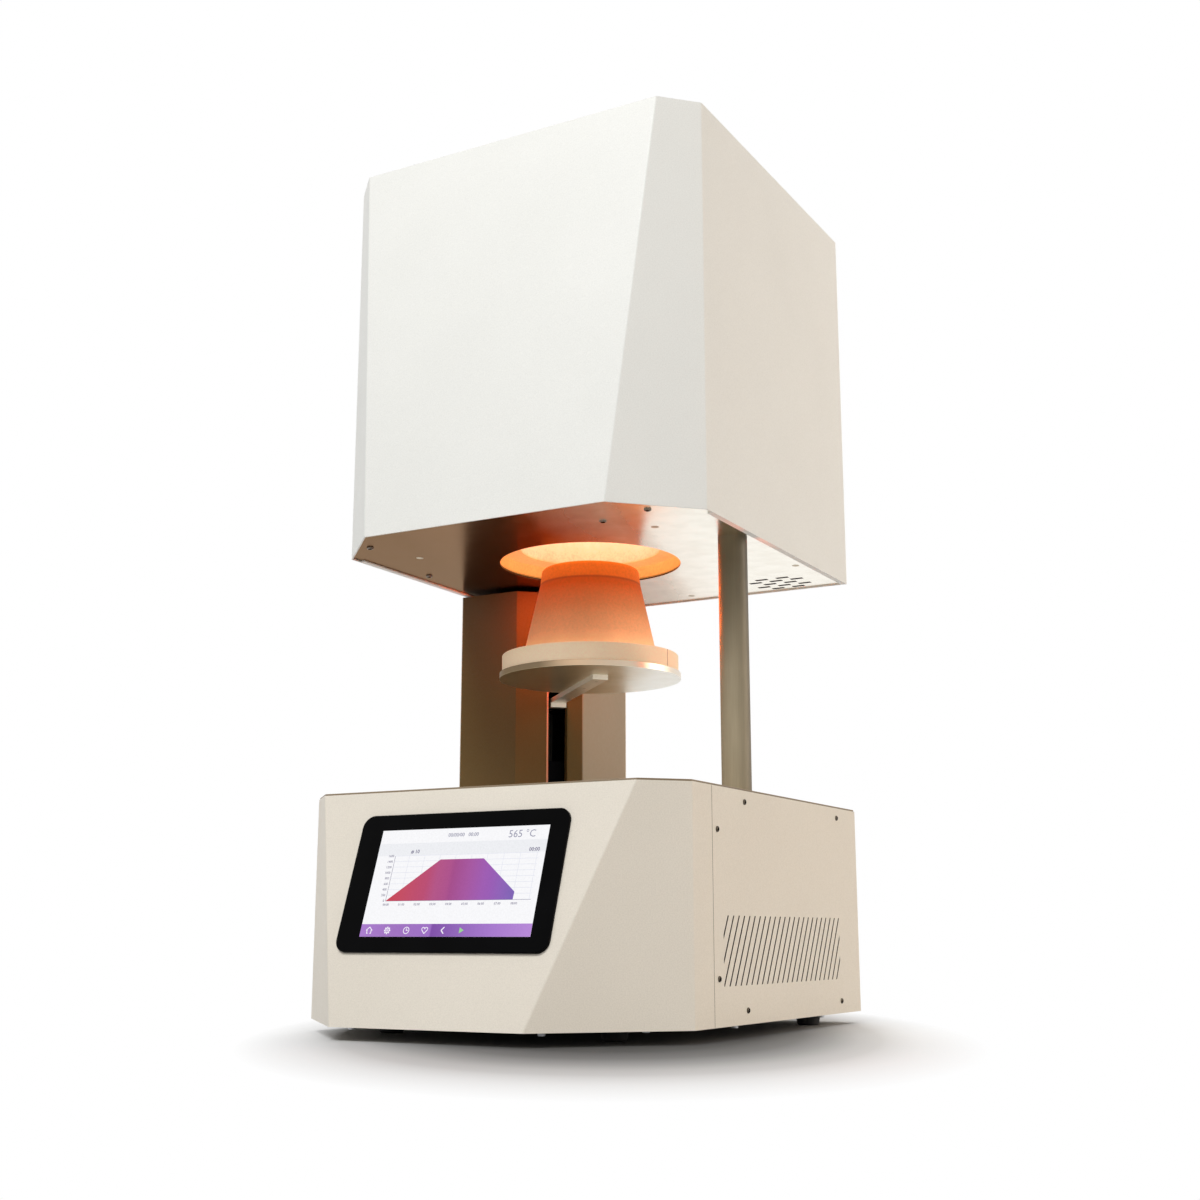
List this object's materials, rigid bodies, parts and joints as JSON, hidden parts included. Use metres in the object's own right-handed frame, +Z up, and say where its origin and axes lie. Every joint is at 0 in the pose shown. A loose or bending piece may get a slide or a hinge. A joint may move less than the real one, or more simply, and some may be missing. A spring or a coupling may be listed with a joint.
{
  "type": "dental lab furnace",
  "caption": "Bench-top sintering furnace: a folded base with a touch display, a heated head on a column and a post, and a fireproof plug that a screw lift raises into the mouth.",
  "frame": {"origin": "on the table under the feet, at the centre of the footprint", "axes": "+Z up, -Y toward the user at the display, +X to the user's right as seen facing the display"},
  "size_m": [0.353, 0.4358, 0.7537],
  "materials": {
    "cover_paint": "fine powder coat",
    "head_paint": "fine powder coat",
    "column_paint": "fine powder coat",
    "stainless_sheet": "brushed",
    "zinc_sheet": "satin",
    "display_glass": "polished, black behind",
    "foot_rubber": "matte",
    "screw_steel": "bright",
    "ground_steel": "ground",
    "black_aluminium": "black anodised",
    "plain_aluminium": "milled",
    "black_plastic": "fine grain",
    "gloss_plastic": "smooth",
    "board": "solder mask",
    "core_iron": "laminated",
    "copper": "enamelled wire",
    "nut_bronze": "machined",
    "fibre_board": "fibrous",
    "plug_ceramic": "fine fibrous",
    "element": "glazed"
  },
  "bodies": {
    "furnace": {"base_floor_pan": "cover_paint", "base_front_panel": "cover_paint", "side_panel_right": "cover_paint", "side_panel_left": "cover_paint", "base_rear_panel": "cover_paint", "base_top_deck": "column_paint", "deck_pillars": "zinc_sheet", "rubber_feet": "foot_rubber", "cover_screws": "screw_steel", "floor_screws": "screw_steel", "display_glass": "display_glass", "display_module": "black_plastic", "display_frame": "zinc_sheet", "control_board": "board", "power_supply": "plain_aluminium", "transformer_core": "core_iron", "transformer_windings": "copper", "heat_sink": "plain_aluminium", "power_controller": "black_plastic", "fan_housing": "black_plastic", "fan_guard": "screw_steel", "mains_inlet": "black_plastic", "inlet_pins": "nut_bronze", "switch_body": "black_plastic", "column_cover": "column_paint", "column_back_panel": "column_paint", "column_backbone": "plain_aluminium", "guide_rail": "ground_steel", "lower_bearing_block": "black_aluminium", "upper_bearing_block": "black_aluminium", "lift_motor": "core_iron", "motor_mount": "plain_aluminium", "post_tube": "stainless_sheet", "post_flanges": "zinc_sheet", "head_bottom_plate": "stainless_sheet", "head_wrap": "head_paint", "head_rear_panel": "head_paint", "head_top_panel": "head_paint", "throat_block": "fibre_board", "chamber_wall": "fibre_board", "chamber_roof": "fibre_board", "insulation_jacket": "stainless_sheet", "heating_elements": "element", "element_holders": "fibre_board", "connection_straps": "plain_aluminium", "thermocouple": "fibre_board"},
    "lift": {"rail_carriage": "ground_steel", "carriage_plate": "black_aluminium", "screw_nut": "nut_bronze", "lift_arm": "stainless_sheet", "arm_screws": "screw_steel", "plug_plate": "stainless_sheet", "plug_disc": "fibre_board", "plug_cone": "plug_ceramic", "plug_cap": "plug_ceramic"},
    "screw": {"lead_screw": "ground_steel", "shaft_coupling": "plain_aluminium", "motor_shaft": "ground_steel"},
    "fan": {"fan_rotor": "black_plastic"},
    "rocker": {"switch_rocker": "gloss_plastic"}
  },
  "joints": [
    {"name": "lift_slide", "type": "slide", "parent": "furnace", "child": "lift", "axis": [0, 0, 1], "range_m": [-0.05, 0.098]},
    {"name": "lead_screw_turn", "type": "hinge", "parent": "furnace", "child": "screw", "pos_m": [-0.08599, 0.16198, 0.2], "axis": [0, 0, 1], "range_deg": [-1802, 3530]},
    {"name": "fan_spin", "type": "hinge", "parent": "furnace", "child": "fan", "pos_m": [0.1, 0.2, 0.102], "axis": [0, 1, 0], "continuous": true},
    {"name": "mains_rocker", "type": "hinge", "parent": "furnace", "child": "rocker", "pos_m": [0.03, 0.2094, 0.07], "axis": [1, 0, 0], "range_deg": [0, 16]}
  ],
  "couplings": [
    {"joint": "lead_screw_turn", "follows": "lift_slide", "rad_per_m": 628.32}
  ]
}
